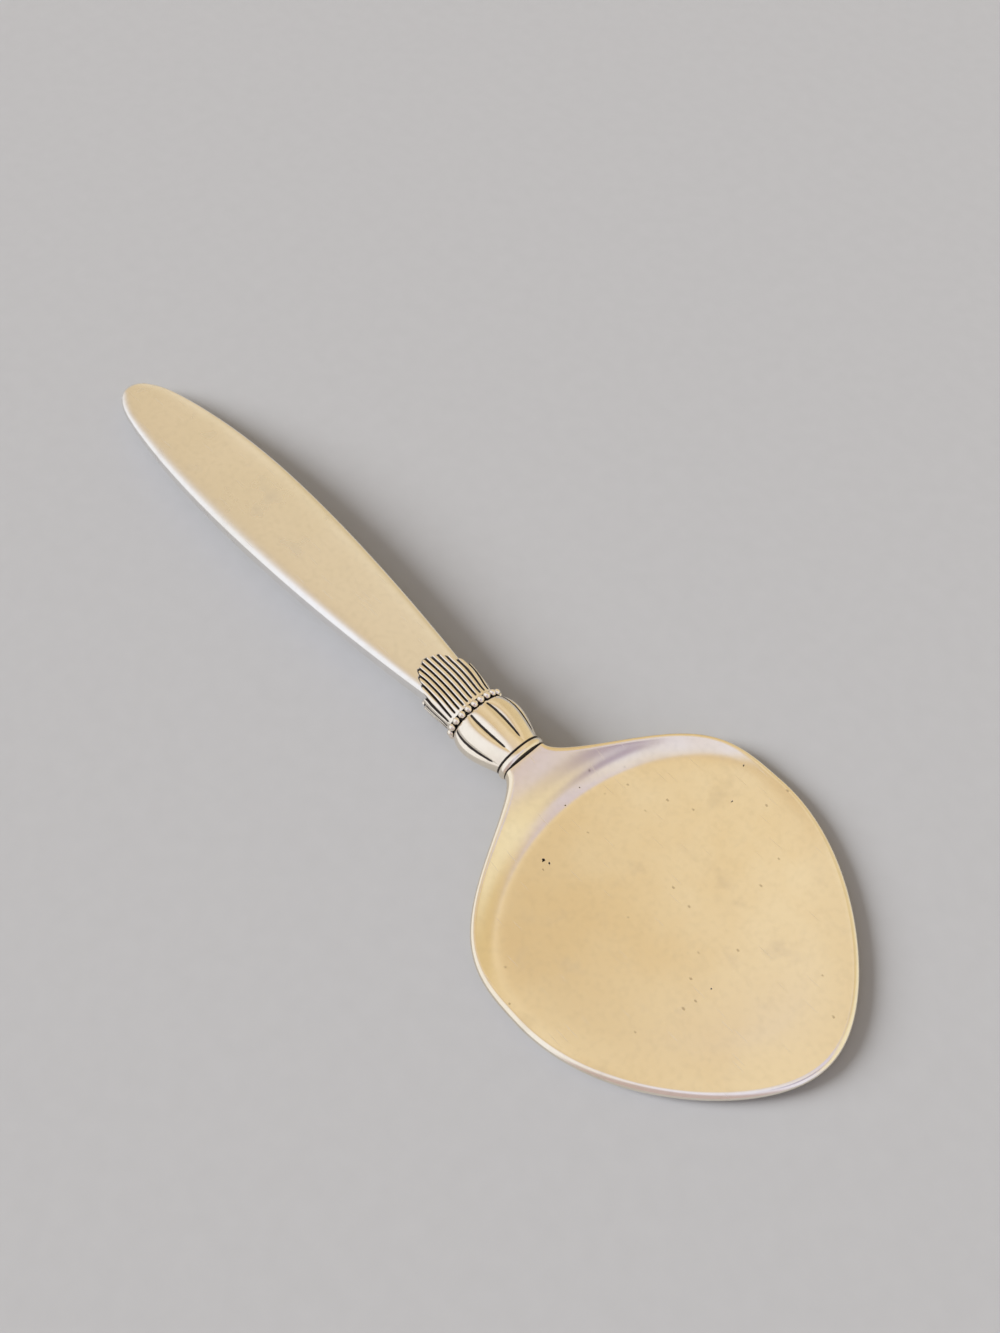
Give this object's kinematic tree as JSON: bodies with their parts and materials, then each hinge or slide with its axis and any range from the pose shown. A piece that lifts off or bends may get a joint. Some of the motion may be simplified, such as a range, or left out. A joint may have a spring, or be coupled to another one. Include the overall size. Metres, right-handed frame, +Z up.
{
  "type": "pastry server",
  "caption": "Pastry server with a broad egg-shaped blade on raised shoulders, an oval collar, a reeded and lobed ferrule with a bead row, and a plain oval hollow handle.",
  "frame": {"origin": "on the surface that the server lies on, under the middle of its length and width", "axes": "+X from the handle's tip to the blade's tip, +Z up through the blade's upper face"},
  "size_m": [0.18, 0.0588, 0.0079],
  "materials": {
    "blade_silver": "polished silver with a soft brushed sheen, fine scratches and a few pits",
    "handle_silver": "satin polished silver with fine handling marks",
    "ornament_silver": "polished silver, blackened in the grooves",
    "tang_steel": "plain drawn steel",
    "filler_cement": "dark cast resin cement"
  },
  "bodies": {
    "root": {"blade": "blade_silver", "tang": "tang_steel", "collar": "ornament_silver", "ferrule": "ornament_silver", "bead_row": "ornament_silver", "handle_front": "handle_silver", "handle_back": "handle_silver", "handle_filler": "filler_cement"}
  },
  "joints": []
}
